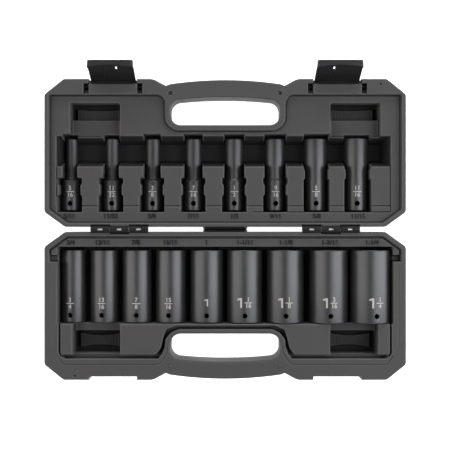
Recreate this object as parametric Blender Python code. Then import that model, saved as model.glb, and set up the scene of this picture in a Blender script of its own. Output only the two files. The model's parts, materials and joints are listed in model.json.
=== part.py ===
"""Socket wrench set in a folding case.

Two moulded halves, joined by two pinned knuckle hinges, lie open on a flat surface. The base half
holds nine deep sockets, the lid half holds eight smaller ones and carries two latches. Sizes are in
millimetres here, and the meshes are built in metres. Plan positions on a half are (x, d): x runs
along the case and d is the distance from the hinge axis, towards -Y on the base and +Y on the lid.
"""
import math

import bmesh
import bpy
from mathutils import Matrix, Vector

for old in list(bpy.data.objects):
    bpy.data.objects.remove(old, do_unlink=True)

MM = 0.001
BASE, LID = -1, 1

# ---------------------------------------------------------------- fits
GAP = 0.3                  # between pieces that touch
BORE_CLEARANCE = 0.25      # of a pin in its hole, on the radius
WELL_CLEARANCE = 0.4       # beside a socket in its seat

# ---------------------------------------------------------------- sockets
# Each row: size name, opening across flats, outside diameter, gap to the next socket in its row.
INCH = 25.4
BASE_SOCKETS = [
    ("3_4", 3 / 4, 27.5, 4.8), ("13_16", 13 / 16, 30.0, 4.9), ("7_8", 7 / 8, 31.5, 4.3),
    ("15_16", 15 / 16, 33.0, 4.4), ("1", 1.0, 35.5, 4.1), ("1_1_16", 1 + 1 / 16, 38.0, 4.4),
    ("1_1_8", 1 + 1 / 8, 40.0, 5.8), ("1_3_16", 1 + 3 / 16, 42.0, 1.8), ("1_1_4", 1 + 1 / 4, 44.0, 0.0),
]
LID_SOCKETS = [
    ("5_16", 5 / 16, 13.0), ("11_32", 11 / 32, 14.2), ("3_8", 3 / 8, 15.6), ("7_16", 7 / 16, 17.4),
    ("1_2", 1 / 2, 19.0), ("9_16", 9 / 16, 20.6), ("5_8", 5 / 8, 24.0), ("11_16", 11 / 16, 25.0),
]
SOCKET_LENGTH = 78.0
DRIVE_END_DIAMETER = 22.0  # of a socket whose nose is thinner than this
DRIVE_END_LENGTH = 32.0    # before the shoulder of a stepped socket
SHOULDER_LENGTH = 3.0
EDGE_CHAMFER = 1.1
DRIVE_SQUARE = 12.7
DRIVE_DEPTH = 17.0
HEX_DEPTH = 22.0
HEX_PLAY = 0.15            # added to the opening across flats
RELIEF = 0.93              # of the opening, the round bore behind the hexagon
RELIEF_TAPER = 3.0
PIN_HOLE_DIAMETER = 5.0
PIN_HOLE_FROM_END = 8.0

# ---------------------------------------------------------------- case
FLOOR = 3.2                # under the sockets
CLOSED_CLEARANCE = 8.0     # between the largest sockets when the case is shut
FLANGE = 13.85             # rim beside the socket well
HINGE_GAP = 2.65           # from the hinge axis to the nearest wall
LEDGE = 15.85              # label ledge, from that wall to the well
BASE_END_GAP = 3.6         # from the well's end to a base socket
LID_END_GAP = 1.4
FRONT_ZONE = 59.9          # from the base sockets to the front wall
LID_ROW_LEFT = 12.1        # from the well's end to the axis of the first lid socket
LID_ROW_RIGHT = 36.6
BOTTOM_CHAMFER = 3.5
SADDLE_HEIGHT = 16.0       # of the ridges between the base sockets
LAND_STEP = 1.1            # lid lands below the lid panel
NOSE_CLEARANCE = 1.2       # beside a nose in its channel
PANEL_EDGE = 4.9           # rim outside the lid panel
BASE_LEDGE_DROP = 2.0

# handle
HANDLE_HALF = 58.5
HANDLE_NEAR = 10.7         # from the base sockets to the hand opening
HANDLE_WIDTH = 26.4        # of the hand opening at its ends
HANDLE_BULGE = 3.5         # more than that in the middle
HANDLE_RADIUS = 9.5
RIDGE = 5.7                # wall round the hand opening
TRENCH = 4.0               # gutter beside that wall
TRENCH_DEPTH = 13.0

# front pockets
POCKET_OUTER = 15.2        # from the well's end to a pocket
POCKET_WIDTH = 51.5
POCKET_FLOOR = 6.0
POCKET_LEDGE = 22.0
PAD_HEIGHT = 6.0           # raised pad on a pocket's floor

# hinges
HINGE_X = 112.2
KNUCKLE = 20.0
KNUCKLE_GAP = 0.5
KNUCKLE_RADIUS = 3.7
KNUCKLE_CLEARANCE = 1.5
HINGE_PIN_RADIUS = 1.5
WINDOW = (5.3, 2.2)
STOP_HALF = 23.0
STOP_Z = (6.0, 30.0)

# latches
LATCH_X = 119.4
LATCH_HALF = 24.1
LATCH_SIDE_GAP = 1.5
LATCH_SLOT = 5.7           # beside the recess, for a trunnion
LATCH_BACK = 7.6           # from the front wall to the pivot
LATCH_DROP = 9.0           # from the hinge plane to the pivot
LATCH_LENGTH = 45.0
LATCH_PLATE = 3.0
LATCH_BARREL = 3.2
LATCH_TRUNNION = 1.8
LATCH_OPEN = 18.0          # degrees from closed to the open stop
LATCH_HOOK = 2.6           # that the hook reaches in from the plate
BAR_FRONT = 5.2            # from the front wall to the bar over the pivot
BAR_THICKNESS = 4.4
CATCH_DEPTH = 3.6          # of the recess in the base's front wall
CATCH_CLEARANCE = 0.5
DOWEL = (58.0, 15.3, 1.5, 2.0)   # x, distance from the front wall, radius, height

# ---------------------------------------------------------------- worked out
BASE_LARGEST = max(row[2] for row in BASE_SOCKETS)
LID_LARGEST = max(max(row[2], DRIVE_END_DIAMETER) for row in LID_SOCKETS)
HINGE_Z = (2 * (FLOOR + GAP) + BASE_LARGEST + LID_LARGEST + CLOSED_CLEARANCE) / 2
RIM_Z = HINGE_Z - GAP / 2
WELL_HALF = (sum(row[2] + row[3] for row in BASE_SOCKETS) + 2 * WELL_CLEARANCE) / 2
CASE_HALF = WELL_HALF + FLANGE
WELL_START = HINGE_GAP + LEDGE
BASE_START = WELL_START + BASE_END_GAP
LID_START = WELL_START + LID_END_GAP
BASE_STOP = BASE_START + SOCKET_LENGTH
LID_STOP = LID_START + SOCKET_LENGTH
DEPTH = BASE_STOP + FRONT_ZONE
HINGE_Y = (DEPTH + HINGE_GAP) / 2
PANEL_Z = RIM_Z - max(BASE_LEDGE_DROP, FLOOR + GAP + BASE_LARGEST - RIM_Z + 3 * GAP)
LAND_Z = PANEL_Z - LAND_STEP
OPENING_START = BASE_STOP + HANDLE_NEAR
OPENING_STOP = OPENING_START + HANDLE_WIDTH
PANEL_STOP = DEPTH - 16.7
SHOULDER_START = LID_START + DRIVE_END_LENGTH
TROUGH_START = SHOULDER_START + 15.2
TROUGH_STOP = LID_STOP + 2.0
PIVOT_D = DEPTH - LATCH_BACK
PIVOT_Z = HINGE_Z - LATCH_DROP
KNUCKLE_BORE = HINGE_PIN_RADIUS + BORE_CLEARANCE
HIGH = HINGE_Z + 20.0      # above everything on the case


# ---------------------------------------------------------------- shapes
def along(side, d):
    """World y of a distance d from the hinge axis on the base or the lid."""
    return HINGE_Y + side * d


def arc(centre, radius, start, stop, steps):
    """Points of a circular arc, angles in degrees."""
    angles = [math.radians(start + (stop - start) * i / steps) for i in range(steps + 1)]
    return [(centre[0] + radius * math.cos(a), centre[1] + radius * math.sin(a)) for a in angles]


def circle(radius, count, centre=(0.0, 0.0)):
    """Ring of a regular polygon with a flat-topped half step."""
    return arc(centre, radius, 180.0 / count, 360.0 - 180.0 / count, count - 1)


def polygon_ring(apothem, sides, turn):
    """A regular polygon sampled at the twelve angles 15, 45, 75... degrees."""
    points = []
    for step in range(12):
        angle = 15.0 + 30.0 * step
        offset = (angle - turn) % (360.0 / sides) - 180.0 / sides
        radius = apothem / math.cos(math.radians(offset))
        points.append((radius * math.cos(math.radians(angle)), radius * math.sin(math.radians(angle))))
    return points


def fillet(corners, steps=3):
    """Round each (x, y, radius) corner of a closed outline."""
    points = []
    for i, (x, y, radius) in enumerate(corners):
        here = Vector((x, y))
        before = (Vector(corners[i - 1][:2]) - here).normalized()
        after = (Vector(corners[(i + 1) % len(corners)][:2]) - here).normalized()
        if radius <= 0.0:
            points.append((x, y))
            continue
        half_angle = before.angle(after) / 2
        first = here + before * radius / math.tan(half_angle)
        last = here + after * radius / math.tan(half_angle)
        centre = here + (before + after).normalized() * radius / math.sin(half_angle)
        for step in range(steps + 1):
            spoke = (first - centre).lerp(last - centre, step / steps).normalized() * radius
            points.append(tuple(centre + spoke))
    return points


def inset(outline, distance):
    """The outline moved in by a distance, edge by edge."""
    area = sum(a[0] * b[1] - b[0] * a[1] for a, b in zip(outline, outline[1:] + outline[:1]))
    turn = distance if area > 0 else -distance
    moved = []
    for i, point in enumerate(outline):
        here = Vector(point)
        into = (here - Vector(outline[i - 1])).normalized()
        out = (Vector(outline[(i + 1) % len(outline)]) - here).normalized()
        normal = Vector((-into.y - out.y, into.x + out.x)).normalized()
        moved.append(tuple(here + normal * turn / max(0.5, normal.dot(Vector((-into.y, into.x))))))
    return moved


def solid(rings):
    """A closed body through rings of 3-D points, each with the same number of points."""
    shape = bmesh.new()
    rows = [[shape.verts.new(Vector(point) * MM) for point in ring] for ring in rings]
    count = len(rows[0])
    for lower, upper in zip(rows, rows[1:]):
        for i in range(count):
            j = (i + 1) % count
            shape.faces.new((lower[i], lower[j], upper[j], upper[i]))
    shape.faces.new(rows[0][::-1])
    shape.faces.new(rows[-1])
    bmesh.ops.recalc_face_normals(shape, faces=shape.faces)
    mesh = bpy.data.meshes.new("shape")
    shape.to_mesh(mesh)
    shape.free()
    part = bpy.data.objects.new("shape", mesh)
    bpy.context.scene.collection.objects.link(part)
    return part


def prism(side, outline, z0, z1):
    """An (x, d) outline carried up from z0 to z1."""
    return solid([[(x, along(side, d), z) for x, d in outline] for z in (z0, z1)])


def block(side, x0, x1, d0, d1, z0, z1):
    return prism(side, [(x0, d0), (x1, d0), (x1, d1), (x0, d1)], z0, z1)


def bar(side, profile, x0, x1):
    """A (d, z) profile carried along the case from x0 to x1."""
    return solid([[(x, along(side, d), z) for d, z in profile] for x in (x0, x1)])


def lane(side, x, centre_z, half, d0, d1):
    """A round-bottomed channel, open upwards, that runs away from the hinge."""
    section = arc((x, centre_z), half, 180.0, 360.0, 12) + [(x + half, HIGH), (x - half, HIGH)]
    return solid([[(u, along(side, d), z) for u, z in section] for d in (d0, d1)])


def combine(target, steps):
    """Apply (operation, body) pairs in turn, then remove the bodies."""
    for operation, body in steps:
        modifier = target.modifiers.new("shape", "BOOLEAN")
        modifier.operation = operation
        modifier.object = body
        modifier.solver = "EXACT"
    graph = bpy.context.evaluated_depsgraph_get()
    finished = bpy.data.meshes.new_from_object(target.evaluated_get(graph))
    target.modifiers.clear()
    target.data = finished
    for _, body in steps:
        bpy.data.objects.remove(body, do_unlink=True)
    return target


def cut(target, bodies):
    return combine(target, [("DIFFERENCE", body) for body in bodies])


def clean(part):
    """Merge doubled points and straighten the flat faces that the cuts left in pieces."""
    shape = bmesh.new()
    shape.from_mesh(part.data)
    bmesh.ops.remove_doubles(shape, verts=shape.verts, dist=0.00001)
    bmesh.ops.dissolve_limit(shape, angle_limit=0.0005, verts=shape.verts, edges=shape.edges)
    bmesh.ops.triangulate(shape, faces=shape.faces)
    shape.to_mesh(part.data)
    shape.free()


def finish(part, name, material, origin):
    """Name the part, give it its material and put its origin where the part turns or rests."""
    clean(part)
    part.name = name
    part.data.name = name
    part.data.materials.clear()
    part.data.materials.append(material)
    place = Vector(origin) * MM
    part.data.transform(Matrix.Translation(-place))
    part.location = place
    return part


def make_material(name, colour, roughness, metallic):
    material = bpy.data.materials.new(name)
    material.use_nodes = True
    shader = material.node_tree.nodes["Principled BSDF"]
    shader.inputs["Base Color"].default_value = (*colour, 1.0)
    shader.inputs["Roughness"].default_value = roughness
    shader.inputs["Metallic"].default_value = metallic
    return material


# ---------------------------------------------------------------- sockets
def make_socket(name, side, x, start, flats, nose, material):
    """A deep socket with its hexagon towards start and its square drive at the far end."""
    drive_end = max(nose, DRIVE_END_DIAMETER)
    stop = start + SOCKET_LENGTH
    if side == LID:            # the lid's sockets point their drive ends at the hinge
        start, stop = stop, start
    run = 1 if stop > start else -1
    centre_z = FLOOR + GAP + drive_end / 2

    def ring(points, distance):
        return [(x + u, along(side, start + run * distance), centre_z + v) for u, v in points]

    def outer(radius, distance):
        return ring(circle(radius, 24), distance)

    body_rings = [outer(nose / 2 - EDGE_CHAMFER, 0.0), outer(nose / 2, EDGE_CHAMFER)]
    if drive_end > nose:
        shoulder = SOCKET_LENGTH - DRIVE_END_LENGTH
        body_rings += [outer(nose / 2, shoulder - SHOULDER_LENGTH), outer(drive_end / 2, shoulder)]
    body_rings += [outer(drive_end / 2, SOCKET_LENGTH - EDGE_CHAMFER),
                   outer(drive_end / 2 - EDGE_CHAMFER, SOCKET_LENGTH)]

    apothem = (flats * INCH + HEX_PLAY) / 2
    relief = circle(apothem * RELIEF, 12)
    square = polygon_ring(DRIVE_SQUARE / 2, 4, 45.0)
    hexagon = polygon_ring(apothem, 6, 15.0)
    drive_start = SOCKET_LENGTH - DRIVE_DEPTH
    bore = solid([ring(hexagon, -5.0), ring(hexagon, HEX_DEPTH), ring(relief, HEX_DEPTH + RELIEF_TAPER),
                  ring(relief, drive_start - RELIEF_TAPER), ring(square, drive_start),
                  ring(square, SOCKET_LENGTH + 5.0)])
    hole_y = along(side, start + run * (SOCKET_LENGTH - PIN_HOLE_FROM_END))
    hole_ring = circle(PIN_HOLE_DIAMETER / 2, 12, (x, hole_y))
    pin_hole = solid([[(u, v, centre_z + h) for u, v in hole_ring] for h in (-drive_end, drive_end)])
    body = cut(solid(body_rings), [bore, pin_hole])
    return finish(body, name, material, (x, along(side, (start + stop) / 2), centre_z))


# ---------------------------------------------------------------- case halves
def case_outline():
    """Plan of a half: chamfered corners, and a bowed grip between two hollows in the front edge."""
    right = [(CASE_HALF - 22.0, HINGE_GAP, 4.0), (CASE_HALF, HINGE_GAP + 15.8, 4.0),
             (CASE_HALF, DEPTH - 16.5, 4.0), (CASE_HALF - 20.5, DEPTH, 4.0)]
    right = fillet([(0.0, HINGE_GAP, 0.0)] + right + [(HANDLE_HALF + 18.0, DEPTH, 12.0),
                   (HANDLE_HALF + 5.0, DEPTH - 7.3, 0.0), (0.0, DEPTH - 1.2, 0.0)], steps=2)
    grip = [(HANDLE_HALF * k / 3, DEPTH - 1.2 - 5.2 * (k / 3) ** 2) for k in (3, 2, 1)]
    right = right[:-1] + grip + [(0.0, DEPTH - 1.2)]
    return right + [(-x, d) for x, d in right[-2:0:-1]]


def handle_path(offset, d_end):
    """Open path round the hinge side of the hand opening, at an offset outside it."""
    half, near = HANDLE_HALF + offset, OPENING_START - offset
    corners = [(-half, d_end, 0.0), (-half, near, HANDLE_RADIUS + offset),
               (half, near, HANDLE_RADIUS + offset), (half, d_end, 0.0)]
    return fillet(corners, steps=4)


def hand_opening():
    far = [(HANDLE_HALF - 6.5, OPENING_STOP), (HANDLE_HALF / 2, OPENING_STOP + 0.75 * HANDLE_BULGE),
           (0.0, OPENING_STOP + HANDLE_BULGE)]
    far += [(-x, d) for x, d in far[1::-1]]
    return handle_path(0.0, OPENING_STOP - 7.0) + far


def knuckle_x(hinge_x, index):
    """Both ends of knuckle 0, 1 or 2 of a hinge."""
    centre = hinge_x + (index - 1) * (KNUCKLE + KNUCKLE_GAP)
    return centre - KNUCKLE / 2, centre + KNUCKLE / 2


def hinge_steps(side):
    """Knuckles, clearance for the other half's knuckles, pin bore and pin windows."""
    own = (0, 2) if side == BASE else (1,)
    steps = []
    for hinge_x in (-HINGE_X, HINGE_X):
        for index in range(3):
            x0, x1 = knuckle_x(hinge_x, index)
            if index not in own:
                room = circle(KNUCKLE_RADIUS + KNUCKLE_CLEARANCE, 16, (0.0, HINGE_Z))
                steps.append(("DIFFERENCE", bar(side, room, x0 - KNUCKLE_GAP, x1 + KNUCKLE_GAP)))
        for index in own:
            x0, x1 = knuckle_x(hinge_x, index)
            web = [(-1.0, HINGE_Z - 3.3), (HINGE_GAP + 1.0, HINGE_Z - 3.3), (HINGE_GAP + 1.0, HINGE_Z - 1.0),
                   (-1.0, HINGE_Z - 1.0)]
            steps.append(("UNION", bar(side, circle(KNUCKLE_RADIUS, 16, (0.0, HINGE_Z)), x0, x1)))
            steps.append(("UNION", bar(side, web, x0 + 0.2, x1 - 0.2)))
            middle = (x0 + x1) / 2
            steps.append(("DIFFERENCE", block(side, middle - WINDOW[0] / 2, middle + WINDOW[0] / 2,
                                              -WINDOW[1] / 2, WINDOW[1] / 2, HINGE_Z, HIGH)))
        x0, x1 = knuckle_x(hinge_x, 0)[0], knuckle_x(hinge_x, 2)[1]
        steps.append(("DIFFERENCE", bar(side, circle(KNUCKLE_BORE, 16, (0.0, HINGE_Z)), x0 - 1.0, x1 + 1.0)))
    return steps


def shell_steps(side):
    """What both halves share: the hand opening, the hinges and the stop block on the back wall."""
    stop = block(side, -STOP_HALF, STOP_HALF, GAP / 2, HINGE_GAP + 1.0, *STOP_Z)
    return [("UNION", stop), ("DIFFERENCE", prism(side, hand_opening(), -5.0, HIGH))] + hinge_steps(side)


def shell(side):
    """The moulded block of a half before its pockets, with a chamfer round its underside."""
    outline = case_outline()
    low = inset(outline, BOTTOM_CHAMFER)
    levels = [(low, 0.0), (outline, BOTTOM_CHAMFER), (outline, RIM_Z)]
    return solid([[(x, along(side, d), z) for x, d in plan] for plan, z in levels])


def pocket_steps(side, hand, ledge, ledge_d, deep_d, top):
    """A finger pocket: a ledge, a deep part beside it and a waisted pad on the deep floor."""
    inner = WELL_HALF - POCKET_OUTER - POCKET_WIDTH
    x0, x1 = sorted((hand * inner, hand * (inner + POCKET_WIDTH)))
    steps = [("DIFFERENCE", block(side, x0, x1, *ledge_d, ledge, top)),
             ("DIFFERENCE", block(side, x0, x1, *deep_d, POCKET_FLOOR, top))]
    middle, half = (x0 + x1) / 2, POCKET_WIDTH / 2 - 3.0
    d0, d1 = deep_d[0] + 3.0, deep_d[1] - 3.0
    pad = [(middle - half, d0), (middle, d0 + 1.6), (middle + half, d0),
           (middle + half, d1), (middle, d1 - 1.6), (middle - half, d1)]
    steps.append(("UNION", prism(side, pad, POCKET_FLOOR - 1.0, POCKET_FLOOR + PAD_HEIGHT)))
    return steps


def base_socket_places():
    """(row, x) of each base socket, packed left to right with its own gaps."""
    x = -WELL_HALF + WELL_CLEARANCE
    for row in BASE_SOCKETS:
        yield row, x + row[2] / 2
        x += row[2] + row[3]


def lid_socket_places():
    pitch = (2 * WELL_HALF - LID_ROW_LEFT - LID_ROW_RIGHT) / (len(LID_SOCKETS) - 1)
    for i, row in enumerate(LID_SOCKETS):
        yield row, -WELL_HALF + LID_ROW_LEFT + i * pitch


def gutter_steps():
    """Gutter along the base's front rim and round the wall of the hand opening."""
    floor = RIM_Z - TRENCH_DEPTH
    d0, d1 = PANEL_STOP - 10.4, PANEL_STOP - 6.1
    ring = handle_path(RIDGE + TRENCH, d1) + handle_path(RIDGE, d1)[::-1]
    steps = [("DIFFERENCE", prism(BASE, ring, floor, HIGH))]
    for hand in (-1, 1):
        x0, x1 = sorted((hand * (HANDLE_HALF + RIDGE), hand * (WELL_HALF - 2.4)))
        steps.append(("DIFFERENCE", block(BASE, x0, x1, d0, d1, floor, HIGH)))
    return steps


def catch_steps():
    """Recesses in the base's front wall for the latches, each with a lip for the hook."""
    lip = HINGE_Z - (LATCH_LENGTH - 5.5 - LATCH_DROP) + CATCH_CLEARANCE
    half = LATCH_HALF + LATCH_SIDE_GAP
    hook_d = PIVOT_D + LATCH_BACK - LATCH_PLATE + 0.4 - LATCH_HOOK - 2 * CATCH_CLEARANCE
    steps = []
    for hand in (-1, 1):
        x0, x1 = hand * LATCH_X - half, hand * LATCH_X + half
        steps.append(("DIFFERENCE", block(BASE, x0, x1, DEPTH - CATCH_DEPTH, DEPTH + 5.0, lip, HIGH)))
        steps.append(("DIFFERENCE", block(BASE, x0, x1, hook_d, DEPTH + 5.0, lip - 7.5, lip + 0.001)))
    return steps


def make_base(material):
    steps = shell_steps(BASE)
    ledge = [(CASE_HALF - 24.0, WELL_START - 9.3), (CASE_HALF - PANEL_EDGE, WELL_START + 4.3),
             (CASE_HALF - PANEL_EDGE, WELL_START + 15.0), (WELL_HALF - 1.0, WELL_START + 15.0),
             (WELL_HALF - 1.0, WELL_START + 1.0)]
    ledge += [(-x, d) for x, d in ledge[::-1]]
    steps.append(("DIFFERENCE", prism(BASE, ledge, RIM_Z - BASE_LEDGE_DROP, HIGH)))
    steps.append(("DIFFERENCE", block(BASE, -WELL_HALF, WELL_HALF, WELL_START, BASE_STOP + GAP,
                                      SADDLE_HEIGHT, HIGH)))
    for (_, _, diameter, _), x in base_socket_places():
        half = diameter / 2 + GAP
        steps.append(("DIFFERENCE", lane(BASE, x, FLOOR + GAP + diameter / 2, half, WELL_START, BASE_STOP + GAP)))
    top = RIM_Z - BASE_LEDGE_DROP
    steps.append(("DIFFERENCE", block(BASE, -WELL_HALF, WELL_HALF, BASE_STOP, BASE_STOP + 2 * GAP, top, HIGH)))
    steps += gutter_steps()
    for hand in (-1, 1):
        d0, d1 = BASE_STOP + 8.9, PANEL_STOP - 10.2
        steps += pocket_steps(BASE, hand, POCKET_LEDGE, (BASE_STOP - 1.0, d0 + 1.0), (d0, d1), HIGH)
    steps += catch_steps()
    x, back, radius, height = DOWEL
    for hand in (-1, 1):
        ring = circle(radius, 12, (hand * x, DEPTH - back))
        steps.append(("UNION", prism(BASE, ring, RIM_Z - 1.0, RIM_Z + height)))
    return finish(combine(shell(BASE), steps), "base_case", material, (0.0, 0.0, 0.0))


def lid_panel():
    """Plan of the sunk panel inside the lid's rim, with the grip left out."""
    edge = CASE_HALF - PANEL_EDGE
    right = [(edge - 18.5, HINGE_GAP + PANEL_EDGE - 0.5), (edge, HINGE_GAP + 18.5), (edge, PANEL_STOP)]
    corner = HANDLE_HALF + RIDGE
    bend = arc((corner + 10.0, PANEL_STOP - 10.0), 10.0, 90.0, 180.0, 3)
    left = [(-x, d) for x, d in (right + bend)[::-1]]
    return right + bend + handle_path(RIDGE, PANEL_STOP - 11.0)[::-1] + left


def pivot_steps():
    """Recess, barrel cavity, bar and trunnion slots of each latch."""
    half = LATCH_HALF + LATCH_SIDE_GAP
    back = PIVOT_D - LATCH_BARREL - 0.6
    floor = PIVOT_Z - 5.9
    under_bar = RIM_Z - BAR_THICKNESS
    seat = PIVOT_Z - LATCH_TRUNNION - GAP
    steps = []
    for hand in (-1, 1):
        x0, x1 = hand * LATCH_X - half, hand * LATCH_X + half
        steps.append(("DIFFERENCE", block(LID, x0, x1, back, DEPTH + 5.0, floor, under_bar)))
        steps.append(("DIFFERENCE", block(LID, x0, x1, DEPTH - BAR_FRONT, DEPTH + 5.0, under_bar - 1.0, HIGH)))
        for s0, s1 in ((x0 - LATCH_SLOT, x0 + 0.3), (x1 - 0.3, x1 + LATCH_SLOT)):
            steps.append(("DIFFERENCE", block(LID, s0, s1, back + 0.2, PIVOT_D + 3.1, seat, HIGH)))
    return steps


def make_lid(material):
    steps = shell_steps(LID)
    steps.append(("DIFFERENCE", prism(LID, lid_panel(), PANEL_Z, HIGH)))
    steps.append(("DIFFERENCE", block(LID, -WELL_HALF, WELL_HALF, WELL_START + 6.2, TROUGH_STOP, LAND_Z, HIGH)))
    steps.append(("DIFFERENCE", block(LID, -WELL_HALF, WELL_HALF, TROUGH_START, TROUGH_STOP, FLOOR, HIGH)))
    for (_, _, nose), x in lid_socket_places():
        drive_end = max(nose, DRIVE_END_DIAMETER)
        centre_z = FLOOR + GAP + drive_end / 2
        seat = drive_end / 2 + WELL_CLEARANCE
        shoulder = SHOULDER_START + SHOULDER_LENGTH + GAP if drive_end > nose else TROUGH_START + 1.0
        steps.append(("DIFFERENCE", lane(LID, x, centre_z, seat, WELL_START, shoulder)))
        steps.append(("DIFFERENCE", lane(LID, x, centre_z, nose / 2 + NOSE_CLEARANCE, shoulder - 1.0,
                                         TROUGH_START + 1.0)))
        steps.append(("DIFFERENCE", block(LID, x - seat - 1.7, x + seat + 1.7, WELL_START, WELL_START + 18.4,
                                          centre_z, HIGH)))
    for hand in (-1, 1):
        d0, d1 = TROUGH_STOP - 1.0, PANEL_STOP - 8.1
        steps += pocket_steps(LID, hand, POCKET_LEDGE, (d0, d1 - 17.0), (d1 - 17.6, d1), HIGH)
    steps += pivot_steps()
    x, back, radius, height = DOWEL
    for hand in (-1, 1):
        ring = circle(radius + 2 * BORE_CLEARANCE, 12, (hand * x, DEPTH - back))
        steps.append(("DIFFERENCE", prism(LID, ring, RIM_Z - height - 1.0, HIGH)))
    return finish(combine(shell(LID), steps), "lid_case", material, (0.0, HINGE_Y, HINGE_Z))


# ---------------------------------------------------------------- latches and pins
def latch_profile():
    """Section of a closed latch about its pivot: outward, then up towards the other half."""
    outer = LATCH_BACK + 0.4
    inner = outer - LATCH_PLATE
    hook = inner - LATCH_HOOK
    top = LATCH_LENGTH
    barrel = arc((0.0, 0.0), LATCH_BARREL, 90.0, 270.0, 6)
    return barrel + [(outer, -LATCH_BARREL), (outer, top - 6.0), (outer + 2.6, top - 1.8), (outer + 2.0, top),
                     (inner + 0.6, top - 1.5), (hook, top - 3.0), (hook, top - 5.5), (inner, top - 5.8),
                     (inner, LATCH_BARREL)]


def make_latch(name, hand, material):
    """A latch plate with its barrel, trunnions, hook, lip and hang hole, leaning at its open stop."""
    x = hand * LATCH_X
    lean = math.radians(LATCH_OPEN)

    def place(u, outward, up):
        d = outward * math.cos(lean) + up * math.sin(lean)
        z = up * math.cos(lean) - outward * math.sin(lean)
        return (x + u, along(LID, PIVOT_D + d), PIVOT_Z + z)

    rings = []
    for u, trim in ((-LATCH_HALF, 2.0), (-LATCH_HALF + 3.0, 0.0), (LATCH_HALF - 3.0, 0.0), (LATCH_HALF, 2.0)):
        rings.append([place(u, out, up - (trim if up > LATCH_LENGTH - 4.0 else 0.0)) for out, up in latch_profile()])
    reach = LATCH_HALF + LATCH_SIDE_GAP + LATCH_SLOT - GAP - 0.2
    pin = solid([[place(u, out, up) for out, up in circle(LATCH_TRUNNION, 12)] for u in (-reach, reach)])
    hole = [(a - hand * 5.8, b) for a, b in circle(1.6, 10, (0.0, LATCH_LENGTH - 11.5))]
    hang = solid([[place(u, out, up) for u, up in hole] for out in (0.0, 20.0)])
    body = combine(solid(rings), [("UNION", pin), ("DIFFERENCE", hang)])
    return finish(body, name, material, (x, along(LID, PIVOT_D), PIVOT_Z))


def make_hinge_pin(name, hinge_x, material):
    x0, x1 = knuckle_x(hinge_x, 0)[0] + GAP, knuckle_x(hinge_x, 2)[1] - GAP
    pin = bar(BASE, circle(HINGE_PIN_RADIUS, 16, (0.0, HINGE_Z)), x0, x1)
    return finish(pin, name, material, (hinge_x, HINGE_Y, HINGE_Z))


# ---------------------------------------------------------------- build
case_plastic = make_material("case_plastic", (0.092, 0.089, 0.090), 0.62, 0.0)
latch_plastic = make_material("latch_plastic", (0.018, 0.018, 0.019), 0.42, 0.0)
socket_steel = make_material("socket_steel", (0.060, 0.060, 0.064), 0.38, 1.0)
pin_steel = make_material("pin_steel", (0.62, 0.62, 0.63), 0.22, 1.0)

make_base(case_plastic)
make_lid(case_plastic)
for hand, word in ((-1, "left"), (1, "right")):
    make_latch("latch_" + word, hand, latch_plastic)
    make_hinge_pin("hinge_pin_" + word, hand * HINGE_X, pin_steel)
for (label, flats, diameter, _), x in base_socket_places():
    make_socket("socket_" + label, BASE, x, BASE_START, flats, diameter, socket_steel)
for (label, flats, diameter), x in lid_socket_places():
    make_socket("socket_" + label, LID, x, LID_START, flats, diameter, socket_steel)
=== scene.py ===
"""Looks of the deep socket set in its open moulded case.

Lengths are in millimetres until a mesh is made. Plan positions on a case half are (x, d): x runs
along the case, and d is the distance from the hinge axis, towards -Y on the base and +Y on the lid.
"""
import json
import math

import bmesh
import bpy
import numpy as np
from mathutils import Matrix, Vector

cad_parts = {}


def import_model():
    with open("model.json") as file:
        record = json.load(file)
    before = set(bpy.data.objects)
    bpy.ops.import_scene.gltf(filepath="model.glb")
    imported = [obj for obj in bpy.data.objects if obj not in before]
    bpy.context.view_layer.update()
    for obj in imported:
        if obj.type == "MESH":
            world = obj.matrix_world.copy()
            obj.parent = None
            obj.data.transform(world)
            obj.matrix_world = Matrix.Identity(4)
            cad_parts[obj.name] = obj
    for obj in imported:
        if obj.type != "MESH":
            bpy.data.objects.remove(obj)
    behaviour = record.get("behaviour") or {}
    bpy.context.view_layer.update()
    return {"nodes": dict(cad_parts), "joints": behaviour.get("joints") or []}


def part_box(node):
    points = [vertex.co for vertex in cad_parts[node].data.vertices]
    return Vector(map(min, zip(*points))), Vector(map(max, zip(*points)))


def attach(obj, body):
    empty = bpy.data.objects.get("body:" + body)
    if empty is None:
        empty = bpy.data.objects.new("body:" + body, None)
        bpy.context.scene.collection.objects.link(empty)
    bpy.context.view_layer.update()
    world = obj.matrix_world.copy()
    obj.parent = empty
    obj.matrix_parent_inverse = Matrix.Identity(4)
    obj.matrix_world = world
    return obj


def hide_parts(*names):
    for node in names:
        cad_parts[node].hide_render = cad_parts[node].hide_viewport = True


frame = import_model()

MM = 0.001
BASE, LID = -1, 1
BODY = {BASE: "base", LID: "lid"}

# ---------------------------------------------------------------- places read from the frame
lid_hinge = next(joint for joint in frame["joints"] if joint["name"] == "lid_hinge")
latch_joint = next(joint for joint in frame["joints"] if joint["name"] == "latch_right_pivot")
case_low, case_high = (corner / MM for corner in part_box("base_case"))
HINGE_Y, HINGE_Z = lid_hinge["pos_m"][1] / MM, lid_hinge["pos_m"][2] / MM
CASE_HALF = case_high.x
DEPTH = HINGE_Y - case_low.y
HINGE_GAP = 2.65
RIM_Z = HINGE_Z - 0.15
LATCH_X, PIVOT_D = latch_joint["pos_m"][0] / MM, latch_joint["pos_m"][1] / MM - HINGE_Y
PIVOT_Z = latch_joint["pos_m"][2] / MM

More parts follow.
